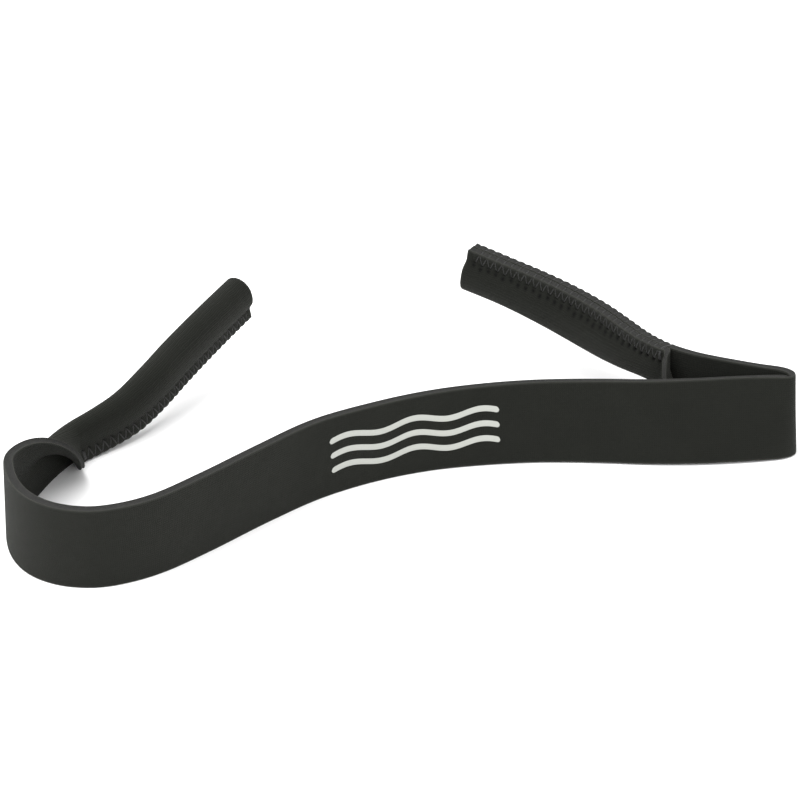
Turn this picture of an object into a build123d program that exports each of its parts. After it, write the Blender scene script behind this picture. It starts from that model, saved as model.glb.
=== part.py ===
# Eyeglass retainer strap: one flat foam-and-jersey strip standing on its edge in a loop, each end
# folded lengthwise and zigzag-stitched into a sleeve that grips a spectacle temple tip.
# Millimetres. +Z up, +X along the front of the loop, -Y towards the front, origin at the middle
# of the loop's bounding box, on the surface that the strap stands on.
import os
from math import cos, pi, radians, sin

from build123d import *

# Driving dimensions
strip_width = 20.0
jersey_thickness = 0.3
foam_thickness = 1.6
strip_thickness = foam_thickness + 2 * jersey_thickness
half_thickness = strip_thickness / 2
half_foam = foam_thickness / 2

glue_line = 0.03            # bond between the foam and each jersey
ply_clearance = 0.1         # between the two pressed plies of a sleeve's seam
seam_allowance = 2.0        # straight stretch of each ply beside the cut edges
flare_length = 5.4          # where the plies part from the seam to the pocket
slack_pocket = 0.8          # pocket width where a sleeve begins
full_pocket = 3.9           # pocket width round a temple tip
profile_steps = 24          # points across a folded strip's outline
outline_splines = 2         # curves that each side of the outline is made of
least_fold = 0.01           # a trace of fold at an arm's flat end, so that its curves stay apart
route_steps = 2             # loft sections from one point of a route to the next

thread_radius = 0.12
stitch_pitch = 2.2
stitch_width = 3.2          # from the needle row to the cut edges
stitch_margin = 0.13        # share of a stitch, at each end, that is hidden in its hole
seam_run_in = 1.0           # seam starts and ends this far inside the sleeve

ink_thickness = 0.1
wave_length = 16.0
wave_height = 1.5
wave_stroke = 1.5
wave_rows = (6.2, 10.0, 13.8)
wave_start = -18.0
wave_end = 22.0

flex_gap = 1.2              # between the solids either side of a flex line
datum = Vector(0.237, 0.507, 0)    # moves the routes so that the origin is the loop's middle

# Route of the front stretch, from the right flex line to the left one, round both turns.
# x and y of the bottom edge, and the lean of the strip in degrees: its top leans outward (+)
# or inward (-), square to the route.
front_route = [
    (87.0, -8.8, 4.0),
    (89.8, -10.3, 0.0),
    (90.4, -12.5, -4.0),
    (88.0, -14.3, -9.0),
    (83.0, -15.0, -14.0),
    (76.0, -15.3, -17.0),
    (67.0, -15.1, -16.0),
    (56.0, -13.9, -13.0),
    (44.0, -11.8, -10.5),
    (31.0, -10.2, -8.5),
    (18.0, -10.0, -6.0),
    (5.0, -11.1, -2.5),
    (-8.0, -14.6, 0.0),
    (-21.0, -20.9, 0.0),
    (-33.5, -30.4, 2.5),
    (-45.5, -40.8, 3.5),
    (-56.0, -48.7, 4.5),
    (-65.5, -52.4, 3.0),
    (-72.5, -52.4, 0.5),
    (-78.9, -50.2, -2.0),
    (-84.5, -45.8, -4.5),
    (-88.6, -39.2, -6.0),
]

# Flex lines: where each arm swings on the front stretch, the strip's heading and its lean there.
right_pivot = Vector(82.5, -7.95, 0.0)
right_heading = Vector(0.952, -0.306, 0).normalized()
right_lean = 7.0
left_pivot = Vector(-90.8, -31.0, 0.0)
left_heading = Vector(-0.06, 1.0, 0).normalized()
left_lean = -6.0

# Arm routes, from the flex line to the mouth: x, y and z of the strip's lower edge as if it were
# still flat, its lean, how far it is folded (0 flat, 1 closed), the width of the pocket, and the
# width that the strip is stretched to round a temple tip.
left_route = [
    (-90.7, -25.5, 0.1, -5.0, 0.04, 0.0, strip_width),
    (-89.4, -19.5, 0.1, -4.0, 0.14, 0.0, strip_width),
    (-87.2, -13.3, 0.06, -2.5, 0.33, 0.1, strip_width),
    (-84.2, -6.5, 0.1, -1.0, 0.64, 0.3, strip_width),
    (-79.6, 0.6, 0.3, 1.0, 1.0, slack_pocket, 20.2),
    (-73.3, 5.6, 0.9, 2.5, 1.0, 1.8, 21.8),
    (-66.6, 11.0, 2.2, 3.5, 1.0, 2.9, 24.0),
    (-61.0, 18.1, 4.3, 4.0, 1.0, 3.6, 25.6),
    (-56.4, 25.8, 6.2, 4.0, 1.0, full_pocket, 26.0),
    (-51.0, 34.6, 8.2, 3.5, 1.0, full_pocket, 26.0),
    (-45.6, 43.4, 9.9, 3.0, 1.0, full_pocket, 26.0),
    (-40.4, 51.8, 11.4, 2.5, 1.0, full_pocket, 26.0),
]
right_route = [
    (76.1, -5.3, 0.16, 9.0, 0.02, 0.0, strip_width),
    (71.5, -2.8, 0.16, 8.5, 0.16, 0.0, strip_width),
    (67.1, 0.0, 0.14, 7.0, 0.52, 0.2, strip_width),
    (62.4, 4.5, 0.1, 4.0, 1.0, slack_pocket, strip_width),
    (57.5, 11.2, 0.7, 1.0, 1.0, 1.9, 21.4),
    (52.9, 18.2, 1.8, 0.0, 1.0, 3.1, 25.8),
    (47.9, 24.6, 3.1, 0.0, 1.0, 3.7, 28.6),
    (41.8, 30.6, 4.6, 0.0, 1.0, full_pocket, 29.0),
    (34.2, 36.6, 6.4, 0.0, 1.0, full_pocket, 28.0),
    (25.2, 42.9, 8.4, 0.0, 1.0, full_pocket, 26.8),
    (16.4, 49.1, 10.3, 0.0, 1.0, full_pocket, 27.2),
]


class Station:
    """A place on the strip: its plane (x outward, y up the strip), its width and its fold."""

    def __init__(self, foot, heading, lean=0.0, fold=0.0, pocket=0.0, width=strip_width, seam_side=1):
        outward = Vector(-heading.Y, heading.X, 0).normalized()
        outward = outward.rotate(Axis((0, 0, 0), tuple(heading)), -lean)
        self.plane = Plane(origin=foot + datum, x_dir=outward, z_dir=heading)
        if seam_side < 0:
            self.plane.origin = self.plane.from_local_coords((0, strip_width, 0))
        self.fold = fold
        self.pocket = pocket
        self.width = width
        self.seam_side = seam_side      # +1: seam at the bottom, -1: seam on top


def floor_lift(lean):
    """How high the mid-line of a leaning strip's lower edge is when its corner is on the floor."""
    return half_thickness * abs(sin(radians(lean)))


def smooth_route(rows):
    """Rows of a route with further ones between them, on a smooth curve through all of them."""
    result = []
    for index in range(len(rows) - 1):
        row_a = rows[max(index - 1, 0)]
        row_b = rows[index]
        row_c = rows[index + 1]
        row_d = rows[min(index + 2, len(rows) - 1)]
        for step in range(route_steps):
            t = step / route_steps
            result.append(tuple(
                b + t / 2 * (c - a + t * (2 * a - 5 * b + 4 * c - d + t * (3 * b - a - 3 * c + d)))
                for a, b, c, d in zip(row_a, row_b, row_c, row_d)
            ))
    return result + [tuple(rows[-1])]


def headings(points, first, last):
    """Unit headings at the points of a route whose two end headings are known."""
    inner = [(after - before).normalized() for before, after in zip(points, points[2:])]
    return [first] + inner + [last]


def front_stations():
    start = right_pivot + right_heading * (flex_gap / 2)
    end = left_pivot - left_heading * (flex_gap / 2)
    first = (start.X, start.Y, right_lean)
    last = (end.X, end.Y, left_lean)
    rows = smooth_route([first] + front_route + [last])
    points = [Vector(x, y, floor_lift(lean)) for x, y, lean in rows]
    routes = zip(points, headings(points, right_heading, left_heading), rows)
    return [Station(point, heading, lean=row[2]) for point, heading, row in routes]


def arm_stations(pivot, heading, lean, route, seam_side):
    """heading points from the flex line to the mouth. The strip runs that way on the left arm
    and the other way on the right one, so that outward stays outward."""
    start = pivot + heading * (flex_gap / 2)
    first = (start.X, start.Y, floor_lift(lean), lean, 0.0, 0.0, strip_width)
    rows = smooth_route([first] + route)
    points = [Vector(*row[:3]) for row in rows]
    mouth_heading = (points[-1] - points[-2]).normalized()
    result = []
    for point, along, row in zip(points, headings(points, heading, mouth_heading), rows):
        fold = min(1.0, max(least_fold, row[4]))
        pocket = max(0.0, row[5])
        width = max(strip_width, row[6])
        result.append(Station(point, along * seam_side, row[3], fold, pocket, width, seam_side))
    return result


def strip_angle(u, station):
    """Turn of the strip's mid-line at u, across the strip from the seam edge, in radians."""
    width = station.width
    if u > width / 2:
        return pi * station.fold - strip_angle(width - u, station)
    mid_radius = station.pocket / 2 + half_thickness
    arc_half = pi * mid_radius / 2
    flare = 2 * (station.pocket / 2) / flare_length * station.fold
    if u < seam_allowance:
        return 0.0
    if u < seam_allowance + flare_length:
        return -flare * sin(pi * (u - seam_allowance) / flare_length) ** 2
    return pi / 2 * station.fold * max(0.0, (u - (width / 2 - arc_half)) / arc_half)


def strip_point(station, u, offset):
    """A point of the section at u, at a distance outward from the strip's mid-line."""
    steps = max(1, round(u / 0.2))
    n = (half_thickness + ply_clearance / 2) * station.fold
    w = 0.0
    for index in range(steps):
        angle = strip_angle((index + 0.5) * u / steps, station)
        n -= sin(angle) * u / steps
        w += cos(angle) * u / steps
    angle = strip_angle(u, station)
    return n + offset * cos(angle), (w + offset * sin(angle)) * station.seam_side


def strip_profile(station, offset):
    """Points across the strip, at a distance outward from its mid-line."""
    step = station.width / profile_steps
    return [strip_point(station, index * step, offset) for index in range(profile_steps + 1)]


def flat_layer(stations, inner, outer):
    """One layer of the flat strip, between two distances from its mid-line."""
    with BuildPart() as layer:
        for station in stations:
            with BuildSketch(station.plane):
                with Locations(((inner + outer) / 2, strip_width / 2)):
                    Rectangle(outer - inner, strip_width)
        loft(ruled=True)
    return layer.part


def outline_side(points):
    """One long side of a folded section, as curves that meet end to end."""
    length = profile_steps // outline_splines
    for start in range(0, profile_steps, length):
        Spline(*points[start:start + length + 1])


def folded_section(station, inner, outer):
    """The section of one layer at a station of an arm."""
    outer_points = strip_profile(station, outer)
    inner_points = strip_profile(station, inner)[::-1]
    with BuildLine(station.plane) as outline:
        outline_side(outer_points)
        Line(outer_points[-1], inner_points[0])
        outline_side(inner_points)
        Line(inner_points[-1], outer_points[0])
    return Face(outline.wires()[0])


def folded_layer(stations, inner, outer):
    """One layer of an arm, from flat strip to closed sleeve."""
    sections = [folded_section(station, inner, outer) for station in stations]
    with BuildPart() as layer:
        loft(sections=sections, ruled=True)
    return layer.part


def seam_point(stations, run, near, side):
    """A point just clear of a sleeve's face, run along the seam and near in from the cut edges."""
    for before, after in zip(stations, stations[1:]):
        length = (after.plane.origin - before.plane.origin).length
        if run <= length or after is stations[-1]:
            break
        run -= length
    ends = []
    for station in (before, after):
        u = near if side > 0 else station.width - near
        local = strip_point(station, u, half_thickness + thread_radius + 0.02)
        ends.append(station.plane.from_local_coords((*local, 0)))
    return ends[0] + (ends[1] - ends[0]) * (run / length)


def seam_places(stations, side):
    """Placings and lengths of the zigzag's legs on a sleeve: side +1 outer ply, -1 inner ply."""
    sleeve = [station for station in stations if station.fold == 1.0]
    origins = [station.plane.origin for station in sleeve]
    seam_length = sum((b - a).length for a, b in zip(origins, origins[1:])) - 2 * seam_run_in
    leg_count = 2 * int(seam_length / stitch_pitch)
    pitch = seam_length / leg_count
    places = []
    for leg in range(leg_count):
        ends = []
        for share in (stitch_margin, 1 - stitch_margin):
            near = stitch_width * (share if leg % 2 else 1 - share)
            ends.append(seam_point(sleeve, seam_run_in + (leg + share) * pitch, near, side))
        middle = (ends[0] + ends[1]) / 2
        direction = ends[1] - ends[0]
        places.append((Plane(origin=middle, z_dir=direction).location, direction.length))
    return places


def wave_ribbon(height):
    """One wave line, centred on its height, as a closed ribbon that faces the front."""
    count = 24
    xs = [wave_start + (wave_end - wave_start) * index / count for index in range(count + 1)]
    crest = [(x, height + wave_height / 2 * sin(2 * pi * (x - wave_start) / wave_length)) for x in xs]
    upper = [(x, z + wave_stroke / 2) for x, z in crest]
    lower = [(x, z - wave_stroke / 2) for x, z in crest]
    with BuildSketch(Plane.XZ, mode=Mode.PRIVATE) as ribbon:
        with BuildLine():
            Spline(*upper)
            Line(upper[-1], lower[-1])
            Spline(*reversed(lower))
            Line(lower[0], upper[0])
        make_face()
    return ribbon.sketch


def stitches(stations, side):
    """The zigzag's thread on one face of a sleeve, as one short length for each stitch."""
    with BuildPart() as thread:
        for place, length in seam_places(stations, side):
            with Locations(place):
                Cylinder(thread_radius, length)
    return thread.part


os.makedirs("parts", exist_ok=True)

# The three bonded layers, by their distances from the strip's mid-line
foam = (-half_foam, half_foam)
outer_jersey = (half_foam + glue_line, half_thickness)
inner_jersey = (-half_thickness, -half_foam - glue_line)
ink = (half_thickness + glue_line, half_thickness + ink_thickness)

front = front_stations()
left = arm_stations(left_pivot, left_heading, left_lean, left_route, 1)
right = arm_stations(right_pivot, right_heading * -1, right_lean, right_route, -1)

# Front stretch
for name, layer in (("foam_core", foam), ("outer_jersey", outer_jersey), ("inner_jersey", inner_jersey)):
    with BuildPart() as band_layer:
        add(flat_layer(front, *layer))
    band_layer.part.label = f"band_{name}"
    export_step(band_layer.part, f"parts/band_{name}.step")

# Printed waves: a film of ink on the outer jersey
with BuildPart() as printed_waves:
    add(flat_layer(front[16:34], *ink))
    with BuildSketch(Plane.XZ):
        for row in wave_rows:
            add(wave_ribbon(row))
    extrude(amount=60, both=True, mode=Mode.INTERSECT)
printed_waves.part.label = "printed_waves"
export_step(printed_waves.part, "parts/printed_waves.step")

# Arms, each with its three layers and its two seam threads
for side, stations in (("left", left), ("right", right)):
    for name, layer in (("foam_core", foam), ("outer_jersey", outer_jersey), ("lining", inner_jersey)):
        with BuildPart() as sleeve_layer:
            add(folded_layer(stations, *layer))
        sleeve_layer.part.label = f"{side}_sleeve_{name}"
        export_step(sleeve_layer.part, f"parts/{side}_sleeve_{name}.step")

    for name, face in (("needle_thread", 1), ("bobbin_thread", -1)):
        with BuildPart() as seam_thread:
            add(stitches(stations, face))
        seam_thread.part.label = f"{side}_seam_{name}"
        export_step(seam_thread.part, f"parts/{side}_seam_{name}.step")
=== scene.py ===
import math

import bpy
import numpy as np
from mathutils import Matrix, Vector


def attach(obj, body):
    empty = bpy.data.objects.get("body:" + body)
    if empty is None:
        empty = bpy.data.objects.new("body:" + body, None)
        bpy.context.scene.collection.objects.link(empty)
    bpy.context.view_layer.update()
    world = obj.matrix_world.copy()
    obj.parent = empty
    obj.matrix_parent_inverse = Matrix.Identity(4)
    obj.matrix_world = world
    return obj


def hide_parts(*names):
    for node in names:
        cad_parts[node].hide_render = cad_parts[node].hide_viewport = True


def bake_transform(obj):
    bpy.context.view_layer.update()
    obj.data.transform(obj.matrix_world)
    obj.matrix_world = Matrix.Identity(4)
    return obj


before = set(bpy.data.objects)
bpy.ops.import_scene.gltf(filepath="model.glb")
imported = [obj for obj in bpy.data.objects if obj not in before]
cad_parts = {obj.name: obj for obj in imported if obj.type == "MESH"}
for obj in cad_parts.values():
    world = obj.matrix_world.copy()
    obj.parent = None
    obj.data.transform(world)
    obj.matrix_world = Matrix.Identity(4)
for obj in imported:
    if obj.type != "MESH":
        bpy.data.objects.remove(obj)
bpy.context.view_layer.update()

mm = 0.001

# One laminated strip, right mouth to left mouth. Lengths in millimetres.
strip = {
    "width": 20.0,
    "half": 1.1,            # half the laminate's thickness
    "foamHalf": 0.8,
    "plyGap": 0.05,         # half the space between the pressed plies
    "seamAllowance": 2.0,
    "flare": 5.4,
    "datum": (0.237, 0.507, 0.0),
    "step": 0.42,           # along the strip
    "softening": 1.6,       # how far the route's bends are evened out
}

# x, y, z of the lower edge as if flat, lean in degrees, fold, pocket, stretched width
rightArm = [
    (16.4, 49.1, 10.3, 0, 1.0, 3.9, 27.2),
    (25.2, 42.9, 8.4, 0, 1.0, 3.9, 26.8),
    (34.2, 36.6, 6.4, 0, 1.0, 3.9, 28.0),
    (41.8, 30.6, 4.6, 0, 1.0, 3.9, 29.0),
    (47.9, 24.6, 3.1, 0, 1.0, 3.7, 28.6),
    (52.9, 18.2, 1.8, 0, 1.0, 3.1, 25.8),
    (57.5, 11.2, 0.7, 1, 1.0, 1.9, 21.4),
    (62.4, 4.5, 0.1, 4, 1.0, 0.8, 20),
    (67.1, 0.0, 0.14, 7, 0.52, 0.2, 20),
    (71.5, -2.8, 0.16, 8.5, 0.16, 0, 20),
    (76.1, -5.3, 0.16, 9, 0.02, 0, 20),
]
rightFlex = (82.5, -7.95, 0.13, 7, 0, 0, 20)
# x, y, lean: this stretch stands on the floor
frontStretch = [
    (87.0, -8.8, 4.0),
    (89.8, -10.3, 0.0),
    (90.4, -12.5, -4.0),
    (88.0, -14.3, -9.0),
    (83.0, -15.0, -14.0),
    (76.0, -15.3, -17.0),
    (67.0, -15.1, -16.0),
    (56.0, -13.9, -13.0),
    (44.0, -11.8, -10.5),
    (31.0, -10.2, -8.5),
    (18.0, -10.0, -6.0),
    (5.0, -11.1, -2.5),
    (-8.0, -14.6, 0.0),
    (-21.0, -20.9, 0.0),
    (-33.5, -30.4, 2.5),
    (-45.5, -40.8, 3.5),
    (-56.0, -48.7, 4.5),
    (-65.5, -52.4, 3.0),
    (-72.5, -52.4, 0.5),
    (-78.9, -50.2, -2.0),
    (-84.5, -45.8, -4.5),
    (-88.6, -39.2, -6.0),
]
leftFlex = (-90.8, -31.0, 0.115, -6, 0, 0, 20)
leftArm = [
    (-90.7, -25.5, 0.1, -5, 0.04, 0.0, 20),
    (-89.4, -19.5, 0.1, -4, 0.14, 0.0, 20),
    (-87.2, -13.3, 0.06, -2.5, 0.33, 0.1, 20),
    (-84.2, -6.5, 0.1, -1, 0.64, 0.3, 20),
    (-79.6, 0.6, 0.3, 1, 1.0, 0.8, 20.2),
    (-73.3, 5.6, 0.9, 2.5, 1.0, 1.8, 21.8),
    (-66.6, 11.0, 2.2, 3.5, 1.0, 2.9, 24.0),
    (-61.0, 18.1, 4.3, 4, 1.0, 3.6, 25.6),
    (-56.4, 25.8, 6.2, 4, 1.0, 3.9, 26.0),
    (-51.0, 34.6, 8.2, 3.5, 1.0, 3.9, 26.0),
    (-45.6, 43.4, 9.9, 3, 1.0, 3.9, 26.0),
    (-40.4, 51.8, 11.4, 2.5, 1.0, 3.9, 26.0),
]

seam = {
    "pitch": 2.2,           # one zig and one zag
    "reach": 3.2,           # from the cut edges to the needle holes
    "threadRadius": 0.13,
    "grooveDepth": 0.15,
    "grooveWidth": 0.3,
    "holeDepth": 0.5,
    "holeSize": 0.45,
    "scallop": 0.2,
    "wander": 0.22,         # of the needle holes, in and out
    "fade": 0.4,            # how quickly the seam's pull sets in at its ends
    "puffAt": 1.3,          # swelling beside the needle holes: place, width and height
    "puffWidth": 0.9,
    "puffHeight": 0.12,
    "pullWidth": 0.5,       # pull of each wrapped stitch on the cut edge
    "pullRest": 0.35,
    "pullReach": 0.9,
    "margin": 1.0,          # plain sleeve before the first stitch and after the last
}


def smoothRows(rows, perSpan):
    # smooth curve through every row
    rows = np.array(rows, float)
    ends = np.vstack([2 * rows[0] - rows[1], rows, 2 * rows[-1] - rows[-2]])
    spans = []
    t = np.arange(perSpan)[:, None] / perSpan
    for i in range(len(rows) - 1):
        a, b, c, d = ends[i:i + 4]
        bendTerm = 2 * a - 5 * b + 4 * c - d + t * (3 * b - a - 3 * c + d)
        spans.append(b + t / 2 * (c - a + t * bendTerm))
    return np.vstack(spans + [rows[-1:]])


def evenlySpaced(rows, step):
    run = np.r_[0, np.cumsum(np.linalg.norm(np.diff(rows[:, :3], axis=0), axis=1))]
    count = int(round(run[-1] / step)) + 1
    at = np.linspace(0, run[-1], count)
    return at, np.stack([np.interp(at, run, column) for column in rows.T], 1)


def blurred(values, sigma):
    # soften along the strip, ends kept
    reach = int(3 * sigma)
    kernel = np.exp(-0.5 * (np.arange(-reach, reach + 1) / sigma) ** 2)
    kernel /= kernel.sum()
    before = 2 * values[0] - values[reach:0:-1]
    after = 2 * values[-1] - values[-2:-reach - 2:-1]
    padded = np.vstack([before, values, after])
    return np.stack([np.convolve(column, kernel, "valid") for column in padded.T], 1)


def unit(vectors):
    return vectors / np.linalg.norm(vectors, axis=-1, keepdims=True)


def floorLift(lean):
    # mid-line height of a leaning edge whose corner is on the floor
    return strip["half"] * np.abs(np.sin(np.radians(lean)))


def layRoute():
    # stations all along the strip, with their axes
    front = [(x, y, floorLift(lean), lean, 0, 0, strip["width"]) for x, y, lean in frontStretch]
    rows = rightArm + [rightFlex] + front + [leftFlex] + leftArm
    run, stations = evenlySpaced(smoothRows(rows, 24), strip["step"])
    stations = blurred(stations, strip["softening"] / strip["step"])
    run, stations = evenlySpaced(stations, strip["step"])
    stations[:, 2] = np.maximum(stations[:, 2], floorLift(stations[:, 3]))
    along = unit(np.gradient(stations[:, :3], axis=0))
    outward = unit(np.stack([-along[:, 1], along[:, 0], 0 * along[:, 0]], 1))
    up = np.cross(along, outward)
    lean = np.radians(stations[:, 3])[:, None]
    outward, up = (
        outward * np.cos(lean) - up * np.sin(lean),
        up * np.cos(lean) + outward * np.sin(lean),
    )
    rightPivot, leftPivot = [
        int(np.argmin(np.linalg.norm(stations[:, :2] - np.array(flex[:2]), axis=1)))
        for flex in (rightFlex, leftFlex)
    ]
    seamUp = np.arange(len(stations)) < rightPivot
    origin = stations[:, :3] + np.array(strip["datum"])
    origin[seamUp] += up[seamUp] * strip["width"]
    return {
        "run": run,
        "origin": origin,
        "along": along,
        "outward": outward,
        "up": up,
        "fold": np.clip(stations[:, 4], 0, 1),
        "pocket": np.clip(stations[:, 5], 0, None),
        "width": np.maximum(stations[:, 6], strip["width"]),
        "side": np.where(seamUp, -1.0, 1.0),
        "rightPivot": rightPivot,
        "leftPivot": leftPivot,
    }


route = layRoute()
print("strip laid,", len(route["run"]), "stations,", round(float(route["run"][-1]), 1), "mm")

# how far into each sleeve's seam a station is, counted from the flat strip's side
closedFold = 0.985
closedAt = np.nonzero(route["fold"] > closedFold)[0]
rightSeamStart = closedAt[closedAt < route["rightPivot"]].max()
leftSeamStart = closedAt[closedAt > route["leftPivot"]].min()
stationAt = np.arange(len(route["run"]))
fromLeftStart = np.where(stationAt >= leftSeamStart, route["run"] - route["run"][leftSeamStart], -1.0)
fromRightStart = route["run"][rightSeamStart] - route["run"]
route["seamRun"] = np.where(stationAt <= rightSeamStart, fromRightStart, fromLeftStart)
rightSeamLength = route["run"][rightSeamStart]
leftSeamLength = route["run"][-1] - route["run"][leftSeamStart]
sleeveSeam = np.where(route["side"] < 0, rightSeamLength, leftSeamLength)
route["seamLength"] = np.where(route["seamRun"] < 0, 0, sleeveSeam)

profileSteps = 200          # points across the strip's section


def layProfiles():
    # mid-line of the strip across each station: n outward, w up from the seam edge, and its turn
    count = len(route["run"])
    share = (np.arange(profileSteps) + 0.5) / profileSteps
    width = route["width"][:, None]
    u = share[None, :] * width
    near = np.minimum(u, width - u)
    midRadius = route["pocket"][:, None] / 2 + strip["half"]
    arcHalf = math.pi * midRadius / 2
    fold = route["fold"][:, None]
    flare = route["pocket"][:, None] / strip["flare"] * fold
    inFlare = (near > strip["seamAllowance"]) & (near < strip["seamAllowance"] + strip["flare"])
    flareShare = (near - strip["seamAllowance"]) / strip["flare"]
    turn = np.where(inFlare, -flare * np.sin(math.pi * flareShare) ** 2, 0.0)
    turn = turn + math.pi / 2 * fold * np.clip((near - (width / 2 - arcHalf)) / arcHalf, 0, None)
    turn = np.where(u > width / 2, math.pi * fold - turn, turn)
    stepLength = width / profileSteps
    n = np.concatenate([np.zeros((count, 1)), np.cumsum(-np.sin(turn) * stepLength, 1)], 1)
    w = np.concatenate([np.zeros((count, 1)), np.cumsum(np.cos(turn) * stepLength, 1)], 1)
    n += (strip["half"] + strip["plyGap"]) * fold
    edges = np.concatenate([turn[:, :1], (turn[:, 1:] + turn[:, :-1]) / 2, turn[:, -1:]], 1)
    return n, w, edges


profileN, profileW, profileTurn = layProfiles()


def zigzag(seamRun):
    # where the zigzag is, from 0 at the needle holes to 1 at the cut edges
    phase = (seamRun - seam["margin"]) / seam["pitch"] % 1.0
    return 1 - np.abs(2 * phase - 1)


def seamInside(i):
    # 1 where a station is sewn, 0 where the strip is plain
    run = route["seamRun"][i]
    length = route["seamLength"][i]
    started = np.clip((run - seam["margin"] + seam["fade"]) / seam["fade"], 0, 1)
    ended = np.clip((length - seam["margin"] + seam["fade"] - run) / seam["fade"], 0, 1)
    return np.where(run < 0, 0, started * ended)


def needleHole(i, near):
    # 1 in the middle of a needle hole; the row of holes wanders a little
    phase = (route["seamRun"][i] - seam["margin"]) / seam["pitch"]
    stitch = np.round(phase)
    row = seam["reach"] + seam["wander"] * np.sin(2.4 * stitch)
    fromHole = (phase - stitch) * seam["pitch"]
    return np.exp(-(fromHole ** 2 + (near - row) ** 2) / seam["holeSize"] ** 2)


def onStrip(i, v, offset, shape=True):
    # points at share v across the strip (0 bottom edge, 1 top edge) and offset from the mid-line
    i = np.asarray(i)
    v = np.asarray(v, float)
    offset = np.asarray(offset, float)
    i, v, offset = np.broadcast_arrays(i, v, offset)
    side = route["side"][i]
    width = route["width"][i]
    u = np.where(side > 0, v, 1 - v) * width
    place = np.clip(u / width, 0, 1) * profileSteps
    low = np.clip(place.astype(int), 0, profileSteps - 1)
    part = place - low
    beyond = u / width - np.clip(u / width, 0, 1)
    n = profileN[i, low] * (1 - part) + profileN[i, low + 1] * part
    w = profileW[i, low] * (1 - part) + profileW[i, low + 1] * part
    turn = profileTurn[i, low] * (1 - part) + profileTurn[i, low + 1] * part
    n = n - np.sin(turn) * beyond * width
    w = w + np.cos(turn) * beyond * width
    if shape:
        near = np.minimum(u, width - u)
        run = route["seamRun"][i]
        inside = seamInside(i)
        zig = zigzag(run)
        lineAt = seam["reach"] * (1 - zig)
        slope = seam["pitch"] / 2 / math.hypot(seam["reach"], seam["pitch"] / 2)
        gap = (near - lineAt) * slope
        groove = np.exp(-(gap / seam["grooveWidth"]) ** 2) * (near < seam["reach"] + seam["fade"])
        phase = (run - seam["margin"]) / seam["pitch"]
        hole = needleHole(i, near)
        fromPuff = near - seam["reach"] - seam["puffAt"]
        puff = np.exp(-(fromPuff / seam["puffWidth"]) ** 2) * seam["puffHeight"]
        press = inside * (seam["grooveDepth"] * groove + seam["holeDepth"] * hole - puff)
        offset = offset - np.clip(offset / strip["half"], 0, 1) * press
        fromWrap = (phase - np.floor(phase) - 0.5) * seam["pitch"]
        pull = np.exp(-(fromWrap / seam["pullWidth"]) ** 2) - seam["pullRest"]
        w = w + inside * seam["scallop"] * pull * np.exp(-near / seam["pullReach"])
    n = n + offset * np.cos(turn)
    w = w + offset * np.sin(turn)
    point = route["origin"][i] + route["outward"][i] * n[..., None]
    return (point + route["up"][i] * (w * side)[..., None]) * mm


# places across the strip, fine beside the cut edges, where the stitches press in
edgePlaces = np.array([
    0, 0.12, 0.3, 0.55, 0.85, 1.15, 1.45, 1.75, 2.05, 2.35, 2.65, 2.95, 3.25, 3.6, 4.0, 4.5,
])
middlePlaces = np.linspace(5.2, strip["width"] - 5.2, 13)
edgeShares = edgePlaces / strip["width"]
across = np.concatenate([edgeShares, middlePlaces / strip["width"], 1 - edgeShares[::-1]])
corner = {"round": 0.12, "size": 0.55}      # of each jersey's cut edge
wornWidth = 0.5                             # fluffed strip along a cut edge


def edgeRound():
    # how much the cut edge's corner is rounded at each place across
    near = np.minimum(across, 1 - across) * strip["width"]
    return corner["round"] * np.clip(1 - near / corner["size"], 0, 1) ** 2


def layerLoop(layer):
    # closed outline of a layer's section, as shares across and offsets
    half = strip["half"]
    back = across[::-1]
    foamFace = np.full(len(across), strip["foamHalf"])
    if layer == "outer":
        return np.concatenate([across, back]), np.concatenate([half - edgeRound(), foamFace])
    if layer == "inner":
        return np.concatenate([back, across]), np.concatenate([(edgeRound() - half)[::-1], -foamFace])
    middle = np.array([0.55, 0.0, -0.55])
    hollow = np.array([0.10, 0.14, 0.10]) / strip["width"]
    shares = np.concatenate([across, 1 - hollow, back, hollow])
    return shares, np.concatenate([foamFace, middle, -foamFace, middle[::-1]])


def makeObject(name, points, faces, smooth=True):
    mesh = bpy.data.meshes.new(name)
    mesh.from_pydata([tuple(p) for p in points], [], faces)
    mesh.update()
    mesh.shade_smooth() if smooth else mesh.shade_flat()
    obj = bpy.data.objects.new(name, mesh)
    bpy.context.scene.collection.objects.link(obj)
    return obj


def addMeasure(obj, values):
    # cloth coordinates in millimetres for the materials: along, across, how near a cut edge
    attribute = obj.data.attributes.new("clothMm", "FLOAT_VECTOR", "POINT")
    attribute.data.foreach_set("vector", np.asarray(values, np.float32).ravel())


def sharpenEdges(obj, angle):
    obj.data.set_sharp_from_angle(angle=math.radians(angle))


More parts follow.
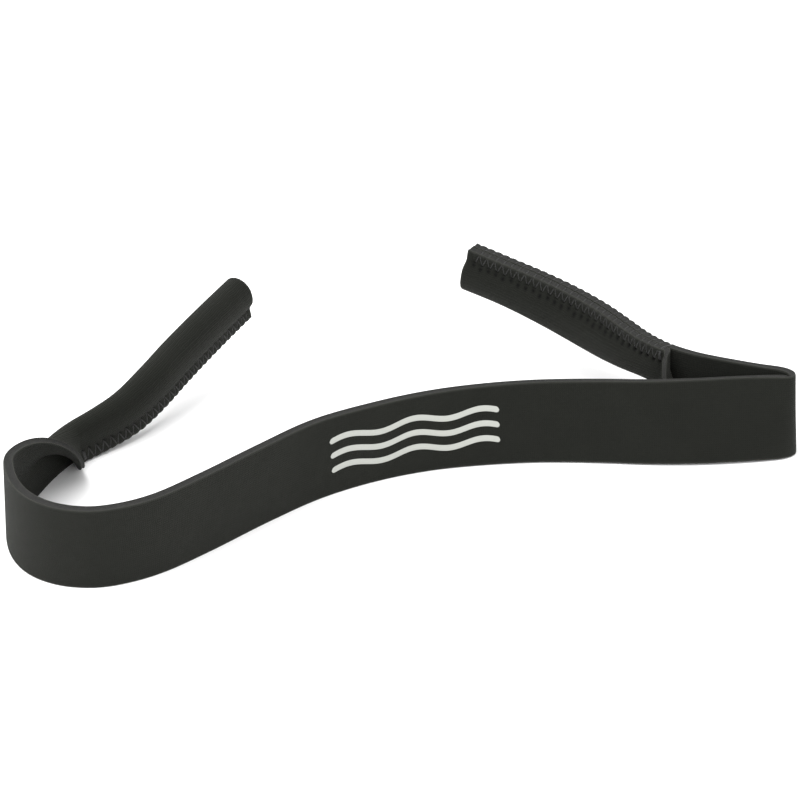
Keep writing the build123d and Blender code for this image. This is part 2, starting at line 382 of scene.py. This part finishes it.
def layLayer(name, layer, first, last):
    shares, offsets = layerLoop(layer)
    stations = np.arange(first, last + 1)
    points = onStrip(stations[:, None], shares[None, :], offsets[None, :])
    rows, columns = points.shape[:2]
    flat = points.reshape(-1, 3)
    index = np.arange(rows * columns).reshape(rows, columns)
    nextColumn = np.roll(index, -1, 1)
    quads = np.stack([index[:-1], nextColumn[:-1], nextColumn[1:], index[1:]], -1).reshape(-1, 4)
    faces = quads.tolist()
    for row, flip in ((0, False), (rows - 1, True)):
        faces += endCap(index[row], flip)
    obj = makeObject(name, flat, faces)
    measure = np.zeros((rows, columns, 3))
    measure[..., 0] = route["run"][stations][:, None]
    measure[..., 1] = (shares * strip["width"])[None, :]
    near = np.minimum(shares, 1 - shares) * strip["width"]
    ends = np.minimum(route["run"][stations], route["run"][-1] - route["run"][stations])
    nearSide = np.clip(1 - near / wornWidth, 0, 1)[None, :]
    measure[..., 2] = np.maximum(nearSide, np.clip(1 - ends / wornWidth, 0, 1)[:, None])
    addMeasure(obj, measure.reshape(-1, 3))
    # where the needle holes are: the mask for their painted shade
    pressed = needleHole(stations[:, None], near[None, :]) * seamInside(stations)[:, None]
    holes = obj.data.attributes.new("needleHoles", "FLOAT", "POINT")
    holes.data.foreach_set("value", pressed.astype(np.float32).ravel())
    sharpenEdges(obj, 50)
    return obj


def endCap(loop, flip):
    # close a section by quads between its two long sides
    loop = list(loop)
    faces = []
    low, high = 0, len(loop) - 1
    while high - low > 2:
        face = [loop[low], loop[high], loop[high - 1], loop[low + 1]]
        faces.append(face if not flip else face[::-1])
        low += 1
        high -= 1
    if high - low == 2:
        face = [loop[low], loop[high], loop[low + 1]]
        faces.append(face if not flip else face[::-1])
    return faces


def node(tree, kind, **settings):
    made = tree.nodes.new(kind)
    for key, value in settings.items():
        setattr(made, key, value)
    return made


def maths(tree, operation, a, b=None, clamp=False):
    made = node(tree, "ShaderNodeMath", operation=operation, use_clamp=clamp)
    for socket, value in zip(made.inputs, (a, b)):
        if value is None:
            continue
        if isinstance(value, (int, float)):
            socket.default_value = value
        else:
            tree.links.new(value, socket)
    return made.outputs[0]


def scaled(tree, value, gain, offset, clamp=False):
    return maths(tree, "ADD", maths(tree, "MULTIPLY", value, gain), offset, clamp)


def newGroup(name, inputs, outputs):
    tree = bpy.data.node_groups.new(name, "ShaderNodeTree")
    for label, kind, value in inputs:
        socket = tree.interface.new_socket(label, in_out="INPUT", socket_type=kind)
        if value is not None:
            socket.default_value = value
    for label, kind in outputs:
        tree.interface.new_socket(label, in_out="OUTPUT", socket_type=kind)
    return tree, node(tree, "NodeGroupInput"), node(tree, "NodeGroupOutput")


knitShape = {
    "wale": 0.55,           # width of a column of loops
    "course": 0.42,         # height of a loop
    "wander": 0.5,          # how far the columns stray
    "slant": 1.7,           # steepness of each loop's two legs
    "legAt": 0.26,          # legs from the column's middle, and how thin they are
    "legThin": 3.6,
    "loopShare": 0.65,      # height that comes and goes along a leg
}


def makeKnitGroup(shape):
    # jersey knit: columns of small v stitches
    tree, given, result = newGroup(
        "jerseyKnit",
        [
            ("Cloth", "NodeSocketVector", None),
            ("Wale", "NodeSocketFloat", shape["wale"]),
            ("Course", "NodeSocketFloat", shape["course"]),
        ],
        [("Height", "NodeSocketFloat")],
    )
    split = node(tree, "ShaderNodeSeparateXYZ")
    tree.links.new(given.outputs["Cloth"], split.inputs[0])
    stray = node(tree, "ShaderNodeTexNoise", noise_dimensions="3D")
    stray.inputs["Scale"].default_value = 0.35
    stray.inputs["Detail"].default_value = 2
    tree.links.new(given.outputs["Cloth"], stray.inputs["Vector"])
    drift = maths(tree, "SUBTRACT", stray.outputs["Fac"], 0.5)
    drift = maths(tree, "MULTIPLY", drift, shape["wander"])
    aside = maths(tree, "ADD", split.outputs["Y"], drift)
    ahead = maths(tree, "ADD", split.outputs["X"], drift)
    column = maths(tree, "DIVIDE", aside, given.outputs["Wale"])
    line = maths(tree, "DIVIDE", ahead, given.outputs["Course"])
    inColumn = maths(tree, "ABSOLUTE", maths(tree, "SUBTRACT", maths(tree, "FRACT", column), 0.5))
    chevron = maths(tree, "ADD", line, maths(tree, "MULTIPLY", inColumn, shape["slant"]))
    turns = maths(tree, "MULTIPLY", chevron, 2 * math.pi)
    loops = scaled(tree, maths(tree, "COSINE", turns), 0.5, 0.5)
    fromLeg = maths(tree, "ABSOLUTE", maths(tree, "SUBTRACT", inColumn, shape["legAt"]))
    fromLeg = maths(tree, "MULTIPLY", fromLeg, shape["legThin"], clamp=True)
    ridge = maths(tree, "SUBTRACT", 1.0, maths(tree, "POWER", fromLeg, 2.0))
    rise = scaled(tree, loops, shape["loopShare"], 1 - shape["loopShare"])
    tree.links.new(maths(tree, "MULTIPLY", ridge, rise), result.inputs["Height"])
    return tree


def makeDriftGroup():
    # slow colour drift, fine fuzz and specks of lint
    tree, given, result = newGroup(
        "clothDrift",
        [
            ("Cloth", "NodeSocketVector", None),
            ("Drift Size", "NodeSocketFloat", 0.08),
            ("Lint Size", "NodeSocketFloat", 2.6),
        ],
        [("Drift", "NodeSocketFloat"), ("Lint", "NodeSocketFloat"), ("Fuzz", "NodeSocketFloat")],
    )
    noises = {}
    for label, size, detail, rough in (
        ("Drift", "Drift Size", 4, 0.55),
        ("Fuzz", "Lint Size", 5, 0.7),
    ):
        noise = node(tree, "ShaderNodeTexNoise")
        noise.inputs["Detail"].default_value = detail
        noise.inputs["Roughness"].default_value = rough
        tree.links.new(given.outputs["Cloth"], noise.inputs["Vector"])
        tree.links.new(given.outputs[size], noise.inputs["Scale"])
        tree.links.new(noise.outputs["Fac"], result.inputs[label])
        noises[label] = noise.outputs["Fac"]
    # only the noise's highest peaks are lint
    peaks = maths(tree, "SUBTRACT", noises["Fuzz"], 0.66)
    tree.links.new(maths(tree, "MULTIPLY", peaks, 9.0, clamp=True), result.inputs["Lint"])
    return tree


def makeSewnEdgeGroup():
    # fluffed fibres along a cut edge, and painted shade in the needle holes beside it
    tree, given, result = newGroup(
        "sewnEdge",
        [
            ("Edge", "NodeSocketFloat", 0.0),
            ("Fuzz", "NodeSocketFloat", 0.5),
            ("Hole", "NodeSocketFloat", 0.0),
            ("Fluff Share", "NodeSocketFloat", 0.9),
        ],
        [("Fluff", "NodeSocketFloat"), ("Shadow", "NodeSocketFloat")],
    )
    fluff = scaled(tree, given.outputs["Fuzz"], given.outputs["Fluff Share"], 0.15)
    fluff = maths(tree, "MULTIPLY", given.outputs["Edge"], fluff, clamp=True)
    tree.links.new(fluff, result.inputs["Fluff"])
    shadow = maths(tree, "MULTIPLY", given.outputs["Hole"], 1.3, clamp=True)
    tree.links.new(shadow, result.inputs["Shadow"])
    return tree


knitGroup = makeKnitGroup(knitShape)
driftGroup = makeDriftGroup()
sewnEdgeGroup = makeSewnEdgeGroup()


def startMaterial(name):
    material = bpy.data.materials.new(name)
    material.use_nodes = True
    tree = material.node_tree
    tree.nodes.clear()
    output = node(tree, "ShaderNodeOutputMaterial")
    shader = node(tree, "ShaderNodeBsdfPrincipled")
    tree.links.new(shader.outputs[0], output.inputs[0])
    cloth = node(tree, "ShaderNodeAttribute", attribute_name="clothMm")
    return material, tree, shader, cloth


def mixColour(tree, factor, a, b):
    made = node(tree, "ShaderNodeMix", data_type="RGBA")
    for socket, value in ((made.inputs[0], factor), (made.inputs[6], a), (made.inputs[7], b)):
        if isinstance(value, (int, float)):
            socket.default_value = value
        elif isinstance(value, tuple):
            socket.default_value = (*value, 1)
        else:
            tree.links.new(value, socket)
    return made.outputs[2]


def placeGroup(tree, group, cloth, **values):
    made = node(tree, "ShaderNodeGroup", node_tree=group)
    tree.links.new(cloth.outputs["Vector"], made.inputs["Cloth"])
    for key, value in values.items():
        made.inputs[key.replace("_", " ")].default_value = value
    return made


def setRoughness(tree, shader, mask, look):
    # a little either side of the look's roughness
    start = look["roughness"] - 0.1
    tree.links.new(scaled(tree, mask, look["roughnessSpread"], start), shader.inputs["Roughness"])


def bump(tree, shader, height, look):
    made = node(tree, "ShaderNodeBump")
    made.inputs["Strength"].default_value = look["bump"]
    made.inputs["Distance"].default_value = look["bumpDepth"]
    tree.links.new(height, made.inputs["Height"])
    tree.links.new(made.outputs[0], shader.inputs["Normal"])


jerseyLook = {
    "dark": (0.0030, 0.0034, 0.0026),
    "light": (0.0140, 0.0150, 0.0120),
    "worn": (0.045, 0.046, 0.041),     # fluffed fibres along the cut edges
    "lint": (0.075, 0.076, 0.070),
    # painted shade inside the needle holes
    "hole": (0.0006, 0.0006, 0.0006),
    "roughness": 0.8,
    "specular": 0.1,
    "sheen": 0.07,
    "sheenRoughness": 0.42,
    "sheenTint": (0.75, 0.76, 0.70),
    "roughnessSpread": 0.2,
    "bump": 0.8,
    "bumpDepth": 0.0002,
    "driftSize": 0.09,
    "lintSize": 2.4,
    "knitShare": 0.75,                  # painted shade: how much darker the knit's grooves are than its raised yarn
    "driftShare": 0.35,
    "lintShare": 0.25,
    "fluffShare": 0.9,
    "liningPaintedShade": 0.85,                # painted shade: the lining's copy of the jersey, darker than the outer face
}


def makeJersey(name, look, paintedShadeBy=1.0):
    material, tree, shader, cloth = startMaterial(name)
    knit = placeGroup(tree, knitGroup, cloth, Wale=knitShape["wale"], Course=knitShape["course"])
    drift = placeGroup(tree, driftGroup, cloth, Drift_Size=look["driftSize"], Lint_Size=look["lintSize"])
    split = node(tree, "ShaderNodeSeparateXYZ")
    tree.links.new(cloth.outputs["Vector"], split.inputs[0])
    # painted shade: the lining is the same jersey, darkened
    dark = tuple(c * paintedShadeBy for c in look["dark"])
    light = tuple(c * paintedShadeBy for c in look["light"])
    # painted shade in the knit's grooves, mixed with random colour drift
    fromKnit = maths(tree, "MULTIPLY", knit.outputs["Height"], look["knitShare"])
    fromDrift = maths(tree, "MULTIPLY", drift.outputs["Drift"], look["driftShare"])
    base = mixColour(tree, maths(tree, "ADD", fromKnit, fromDrift, clamp=True), dark, light)
    specks = maths(tree, "MULTIPLY", drift.outputs["Lint"], look["lintShare"])
    base = mixColour(tree, specks, base, look["lint"])
    holes = node(tree, "ShaderNodeAttribute", attribute_name="needleHoles")
    edge = node(tree, "ShaderNodeGroup", node_tree=sewnEdgeGroup)
    edge.inputs["Fluff Share"].default_value = look["fluffShare"]
    tree.links.new(split.outputs["Z"], edge.inputs["Edge"])
    tree.links.new(drift.outputs["Fuzz"], edge.inputs["Fuzz"])
    tree.links.new(holes.outputs["Fac"], edge.inputs["Hole"])
    base = mixColour(tree, edge.outputs["Fluff"], base, look["worn"])
    # painted shade darkens the needle holes
    base = mixColour(tree, edge.outputs["Shadow"], base, look["hole"])
    tree.links.new(base, shader.inputs["Base Color"])
    setRoughness(tree, shader, drift.outputs["Fuzz"], look)
    shader.inputs["Sheen Weight"].default_value = look["sheen"]
    shader.inputs["Sheen Roughness"].default_value = look["sheenRoughness"]
    shader.inputs["Sheen Tint"].default_value = (*look["sheenTint"], 1)
    shader.inputs["Specular IOR Level"].default_value = look["specular"]
    height = maths(tree, "ADD", knit.outputs["Height"], maths(tree, "MULTIPLY", drift.outputs["Fuzz"], 0.5))
    bump(tree, shader, height, look)
    return material


foamLook = {
    "dark": (0.006, 0.006, 0.0055),
    "light": (0.030, 0.030, 0.028),
    "cells": 3.2,                       # pores to a millimetre
    "roughness": 0.9,
    "roughnessSpread": 0.15,
    "specular": 0.3,
    "bump": 0.7,
    "bumpDepth": 0.0001,
}


def makeFoam(name, look):
    material, tree, shader, cloth = startMaterial(name)
    spot = node(tree, "ShaderNodeTexCoord")
    grow = node(tree, "ShaderNodeVectorMath", operation="SCALE")
    grow.inputs["Scale"].default_value = look["cells"] / mm
    tree.links.new(spot.outputs["Object"], grow.inputs[0])
    cells = node(tree, "ShaderNodeTexVoronoi")
    cells.inputs["Scale"].default_value = 1.0
    tree.links.new(grow.outputs[0], cells.inputs["Vector"])
    grain = node(tree, "ShaderNodeTexNoise")
    grain.inputs["Scale"].default_value = 0.4
    grain.inputs["Detail"].default_value = 4
    tree.links.new(grow.outputs[0], grain.inputs["Vector"])
    # painted shade in the foam's pores, mixed with random grain
    pores = maths(tree, "MULTIPLY", cells.outputs["Distance"], 1.6, clamp=True)
    shade = maths(tree, "MULTIPLY", pores, grain.outputs["Fac"])
    tree.links.new(mixColour(tree, shade, look["dark"], look["light"]), shader.inputs["Base Color"])
    setRoughness(tree, shader, grain.outputs["Fac"], look)
    shader.inputs["Specular IOR Level"].default_value = look["specular"]
    bump(tree, shader, pores, look)
    return material


threadLook = {
    "dark": (0.003, 0.003, 0.003),
    "light": (0.014, 0.014, 0.013),
    "roughness": 0.6,
    "roughnessSpread": 0.2,
    "sheen": 0.1,
    "bump": 0.4,
    "bumpDepth": 0.00005,
    "driftSize": 0.8,
    "lintSize": 9.0,
}


def makeThread(name, look):
    material, tree, shader, cloth = startMaterial(name)
    drift = placeGroup(tree, driftGroup, cloth, Drift_Size=look["driftSize"], Lint_Size=look["lintSize"])
    base = mixColour(tree, drift.outputs["Fuzz"], look["dark"], look["light"])
    tree.links.new(base, shader.inputs["Base Color"])
    setRoughness(tree, shader, drift.outputs["Drift"], look)
    shader.inputs["Sheen Weight"].default_value = look["sheen"]
    bump(tree, shader, drift.outputs["Fuzz"], look)
    return material


inkLook = {
    "base": (0.39, 0.40, 0.37),
    "thin": (0.28, 0.285, 0.265),        # where the knit shows through
    "roughness": 0.6,
    "roughnessSpread": 0.2,
    "bump": 0.35,
    "bumpDepth": 0.0001,
    "driftSize": 0.3,
    "lintSize": 2.4,
    "knitShare": 0.6,                   # what makes the ink look thick
    "fuzzShare": 0.7,
}


def makeInk(name, look):
    material, tree, shader, cloth = startMaterial(name)
    knit = placeGroup(tree, knitGroup, cloth, Wale=knitShape["wale"], Course=knitShape["course"])
    drift = placeGroup(tree, driftGroup, cloth, Drift_Size=look["driftSize"], Lint_Size=look["lintSize"])
    fromKnit = maths(tree, "MULTIPLY", knit.outputs["Height"], look["knitShare"])
    fromFuzz = maths(tree, "MULTIPLY", drift.outputs["Fuzz"], look["fuzzShare"])
    cover = maths(tree, "ADD", fromKnit, fromFuzz, clamp=True)
    tree.links.new(mixColour(tree, cover, look["thin"], look["base"]), shader.inputs["Base Color"])
    setRoughness(tree, shader, drift.outputs["Fuzz"], look)
    bump(tree, shader, knit.outputs["Height"], look)
    return material


jerseyMaterial = makeJersey("blackJersey", jerseyLook)
# the lining: the same jersey with painted shade
liningMaterial = makeJersey("shadedLiningJersey", jerseyLook, jerseyLook["liningPaintedShade"])
foamMaterial = makeFoam("cutFoam", foamLook)
threadMaterial = makeThread("seamThread", threadLook)
inkMaterial = makeInk("printInk", inkLook)
print("materials made")

# Each layer is laid in three lengths: round each flex line, and the front between them.
splits = {"right": (88.4, -14.1), "left": (-66.0, -52.2)}


def stationNear(x, y):
    place = np.array([x, y]) + np.array(strip["datum"][:2])
    return int(np.argmin(np.linalg.norm(route["origin"][:, :2] - place, axis=1)))


rightSplit = stationNear(*splits["right"])
leftSplit = stationNear(*splits["left"])
lastStation = len(route["run"]) - 1
lengths = {
    "right": (0, rightSplit),
    "front": (rightSplit, leftSplit),
    "left": (leftSplit, lastStation),
}


def acrossFlex(piece, length):
    # ride on the band for the front; the other lengths are baked in place
    if length == "front":
        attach(piece, "band")
        return
    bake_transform(piece)


layers = [
    ("outerJersey", "outer", jerseyMaterial, "jersey", "outer_jersey", "outer_jersey"),
    ("foamCore", "foam", foamMaterial, "foam", "foam_core", "foam_core"),
    ("innerJersey", "inner", liningMaterial, "jersey", "inner_jersey", "lining"),
]
for name, layer, material, slotName, frontNode, armNode in layers:
    for length, (first, last) in lengths.items():
        piece = layLayer(f"{name}_{length}", layer, first, last)
        piece.data.materials.append(material)
        acrossFlex(piece, length)
        nodes = [f"band_{frontNode}"]
        if length != "front":
            nodes.append(f"{length}_sleeve_{armNode}")
        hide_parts(*nodes)
print("layers laid")

thread = {
    "sides": 9,
    "strands": 3,
    "twist": 1.1,
    "lobes": 0.16,
    "step": 0.22,           # between rings along the thread
    "softening": 1.1,       # rings over which its bends are rounded
    "lockStitches": 4,      # short stitches that lock the seam's start
    "lockStep": 0.28,
    "legPoints": 8,
    "lift": 0.55,           # of the radius, above the jersey
    "dip": 0.5,             # into a needle hole, and how near to it
    "dipWidth": 0.35,
    "wrapFrom": 0.86,       # share of a stitch after which it goes over the cut edge
    "wrapReach": 0.8,
}


def tube(name, path, radius):
    # twisted thread along a path of points, in metres
    path = np.asarray(path)
    run = np.r_[0, np.cumsum(np.linalg.norm(np.diff(path, axis=0), axis=1))]
    count = max(4, int(run[-1] / (thread["step"] * mm)))
    at = np.linspace(0, run[-1], count)
    line = np.stack([np.interp(at, run, column) for column in path.T], 1)
    line = blurred(line, thread["softening"])
    ahead = unit(np.gradient(line, axis=0))
    guide = np.array([0.0, 0.0, 1.0])
    sideways = unit(np.cross(ahead, guide) + 1e-9)
    upward = np.cross(sideways, ahead)
    angle = np.arange(thread["sides"]) / thread["sides"] * 2 * math.pi
    twist = at[:, None] / mm * thread["twist"] * 2 * math.pi / thread["strands"]
    swell = 1 + thread["lobes"] * np.cos(thread["strands"] * (angle[None, :] - twist))
    across = np.cos(angle)[None, :, None] * sideways[:, None, :]
    ring = radius * swell[..., None] * (across + np.sin(angle)[None, :, None] * upward[:, None, :])
    points = (line[:, None, :] + ring).reshape(-1, 3)
    sides = thread["sides"]
    index = np.arange(count * sides).reshape(count, sides)
    after = np.roll(index, -1, 1)
    faces = np.stack([index[:-1], index[1:], after[1:], after[:-1]], -1).reshape(-1, 4).tolist()
    faces.append(index[0].tolist())
    faces.append(index[-1][::-1].tolist())
    obj = makeObject(name, points, faces)
    measure = np.zeros((count, sides, 3))
    measure[..., 0] = (at / mm)[:, None]
    measure[..., 1] = angle[None, :]
    addMeasure(obj, measure.reshape(-1, 3))
    return obj


def stitchPath(start, length, forward, face):
    # zigzag on one ply's face, from the plain strip towards the mouth
    radius = seam["threadRadius"]
    pitch = seam["pitch"]
    points = []
    runs = []
    for k in range(thread["lockStitches"]):
        runs.append((seam["margin"] + thread["lockStep"] * k, k % 2))
    cycles = int((length - 2 * seam["margin"]) / pitch)
    for k in range(2 * cycles + 1):
        runs.append((seam["margin"] + k * pitch / 2, k % 2))
    for (runA, atEdgeA), (runB, atEdgeB) in zip(runs, runs[1:]):
        for t in np.linspace(0, 1, thread["legPoints"], endpoint=False):
            run = runA + (runB - runA) * t
            edge = atEdgeA + (atEdgeB - atEdgeA) * t
            near = seam["reach"] * (1 - edge)
            points.append((run, near, edge))
    run, near, edge = np.array(points).T
    stationAt = start + forward * run / strip["step"]
    low = np.floor(stationAt).astype(int)
    part = (stationAt - low)[:, None]
    low = np.clip(low, 0, lastStation - 1)
    side = route["side"][low]
    width = route["width"][low]
    u = np.where(face > 0, near, width - near)
    v = np.where(side > 0, u / width, 1 - u / width)
    dip = np.exp(-((near - seam["reach"]) / thread["dipWidth"]) ** 2) * thread["dip"]
    wrap = np.clip((edge - thread["wrapFrom"]) / (1 - thread["wrapFrom"]), 0, 1)
    rise = strip["half"] + radius * thread["lift"] - dip
    rise = rise * (1 - wrap) - (strip["half"] + 0.02) * wrap
    v = v + np.where(side > 0, -1, 1) * face * wrap * (radius * thread["wrapReach"]) / width
    a = onStrip(low, v, rise)
    b = onStrip(np.clip(low + 1, 0, lastStation), v, rise)
    return a * (1 - part) + b * part


for sleeveSide, start, forward, length in (
    ("left", leftSeamStart, 1, leftSeamLength),
    ("right", rightSeamStart, -1, rightSeamLength),
):
    for threadName, face in (("needle_thread", 1), ("bobbin_thread", -1)):
        path = stitchPath(start, length, forward, face)
        piece = tube(f"{sleeveSide}_{threadName}", path, seam["threadRadius"] * mm)
        piece.data.materials.append(threadMaterial)
        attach(piece, f"{sleeveSide}_arm")
        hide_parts(f"{sleeveSide}_seam_{threadName}")
print("seams sewn")

waves = {
    "rows": (6.2, 10.0, 13.8),      # heights on the strip
    "start": -18.0,
    "end": 22.0,
    "length": 16.0,
    "height": 1.5,
    "stroke": 1.5,
    "film": 0.035,
    "steps": 180,
    "across": 7,
    "edgeFilm": 0.004,      # thickness at the ink's edges
    "tipShare": 0.05,       # of the stroke, at its rounded tips
}


def printWaves():
    # raised film of ink, laid on the outer jersey
    points, faces, measures = [], [], []
    xs = route["origin"][:, 0]
    onFront = np.arange(rightSplit, leftSplit)
    order = onFront[::-1]
    for row in waves["rows"]:
        base = len(points)
        count, wide = waves["steps"], waves["across"]
        x = np.linspace(waves["start"], waves["end"], count + 1)
        station = np.interp(x, xs[order], order.astype(float))
        swing = np.sin(2 * math.pi * (x - waves["start"]) / waves["length"])
        centre = row + waves["height"] / 2 * swing
        tip = np.minimum(x - waves["start"], waves["end"] - x)
        fromRound = np.clip(1 - tip / (waves["stroke"] / 2), 0, 1)
        rounding = np.sqrt(np.clip(1 - fromRound ** 2, 0.0, 1))
        for s, z, r in zip(station, centre, rounding):
            stroke = waves["stroke"] * max(r, waves["tipShare"])
            shares = (z + (np.arange(wide) / (wide - 1) - 0.5) * stroke) / strip["width"]
            low = int(s)
            part = s - low
            lift = np.full(wide, strip["half"] + waves["film"])
            lift[0] = lift[-1] = strip["half"] + waves["edgeFilm"]
            a = onStrip(np.full(wide, low), shares, lift, False)
            b = onStrip(np.full(wide, low + 1), shares, lift, False)
            points += (a * (1 - part) + b * part).tolist()
            run = route["run"][low] + part * strip["step"]
            measures += [(run, share * strip["width"], 0) for share in shares]
        index = base + np.arange((count + 1) * wide).reshape(count + 1, wide)
        corners = [index[:-1, :-1], index[1:, :-1], index[1:, 1:], index[:-1, 1:]]
        faces += np.stack(corners, -1).reshape(-1, 4).tolist()
    obj = makeObject("printedWaves", np.array(points), faces)
    addMeasure(obj, measures)
    return obj


ink = printWaves()
ink.data.materials.append(inkMaterial)
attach(ink, "band")
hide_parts("printed_waves")
print("waves printed")

studio = {
    "floorSize": 3.0,
    "floorColour": (0.93, 0.93, 0.93),
    "sky": 0.9,
    "floorRoughness": 0.9,
}
lamps = {
    "softboxAbove": {"place": (-0.25, -0.1, 0.75), "target": (0, 0, 0), "size": (0.9, 0.7), "energy": 9.0},
    "softboxFront": {"place": (0.35, -0.8, 0.45), "target": (0, 0, 0.01), "size": (0.7, 0.5), "energy": 4.0},
}


def makeFloor():
    half = studio["floorSize"] / 2
    corners = [(-half, -half, 0), (half, -half, 0), (half, half, 0), (-half, half, 0)]
    floor = makeObject("floor", corners, [(0, 1, 2, 3)], smooth=False)
    material = bpy.data.materials.new("paleFloor")
    material.use_nodes = True
    shader = material.node_tree.nodes["Principled BSDF"]
    shader.inputs["Base Color"].default_value = (*studio["floorColour"], 1)
    shader.inputs["Roughness"].default_value = studio["floorRoughness"]
    floor.data.materials.append(material)


def makeLight(name, place, target, size, energy):
    lamp = bpy.data.lights.new(name, "AREA")
    lamp.shape = "RECTANGLE"
    lamp.size, lamp.size_y = size
    lamp.energy = energy
    obj = bpy.data.objects.new(name, lamp)
    bpy.context.scene.collection.objects.link(obj)
    obj.location = place
    obj.rotation_mode = "QUATERNION"
    obj.rotation_quaternion = (Vector(target) - Vector(place)).to_track_quat("-Z", "Y")


makeFloor()
for lampName, settings in lamps.items():
    makeLight(lampName, **settings)
print("studio lit")

world = bpy.data.worlds.new("studioSky")
world.use_nodes = True
world.node_tree.nodes["Background"].inputs["Color"].default_value = (1, 1, 1, 1)
world.node_tree.nodes["Background"].inputs["Strength"].default_value = studio["sky"]
bpy.context.scene.world = world

cameraView = {
    "elevation": 29.0,
    "roll": 3.0,
    "distance": 0.5,
    "aim": (-0.000963, 0.023507, 0.0),
    "lens": 90.0,
}


def makeCamera():
    tilt = math.radians(cameraView["elevation"])
    roll = math.radians(cameraView["roll"])
    ahead = Vector((0, math.cos(tilt), -math.sin(tilt)))
    right = Vector((1, 0, 0))
    over = right.cross(ahead)
    cameraRight = right * math.cos(roll) - over * math.sin(roll)
    cameraOver = over * math.cos(roll) + right * math.sin(roll)
    data = bpy.data.cameras.new("camera")
    data.lens = cameraView["lens"]
    data.sensor_width = 36.0
    data.clip_start = 0.01
    obj = bpy.data.objects.new("camera", data)
    bpy.context.scene.collection.objects.link(obj)
    turn = Matrix((cameraRight, cameraOver, -ahead)).transposed()
    place = Vector(cameraView["aim"]) - ahead * cameraView["distance"]
    obj.matrix_world = Matrix.Translation(place) @ turn.to_4x4()
    bpy.context.scene.camera = obj


makeCamera()
bpy.context.scene.view_settings.view_transform = "Standard"
